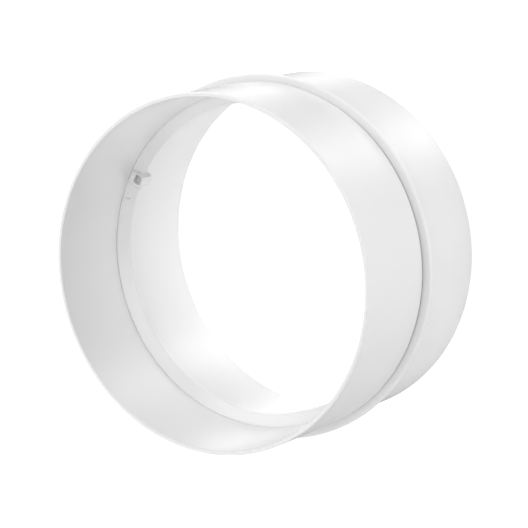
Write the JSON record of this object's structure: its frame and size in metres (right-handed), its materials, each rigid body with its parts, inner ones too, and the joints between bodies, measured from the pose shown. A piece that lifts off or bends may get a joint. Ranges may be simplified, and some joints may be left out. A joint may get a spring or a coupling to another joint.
{
  "type": "duct connector",
  "caption": "Short round plastic tube that joins round ducts: equal plain spigots, a thin stop collar between them and a low seat ring with pivot seats inside.",
  "frame": {"origin": "centre of the rear mouth, on the plane that the connector stands on", "axes": "+Z along the tube's axis towards the front mouth, +Y to the top of the fitted duct, midway between the pivot seats"},
  "size_m": [0.1292, 0.1292, 0.075],
  "materials": {
    "white_plastic": "white moulded plastic with a soft sheen"
  },
  "bodies": {
    "root": {"duct_connector": "white_plastic"}
  },
  "joints": []
}
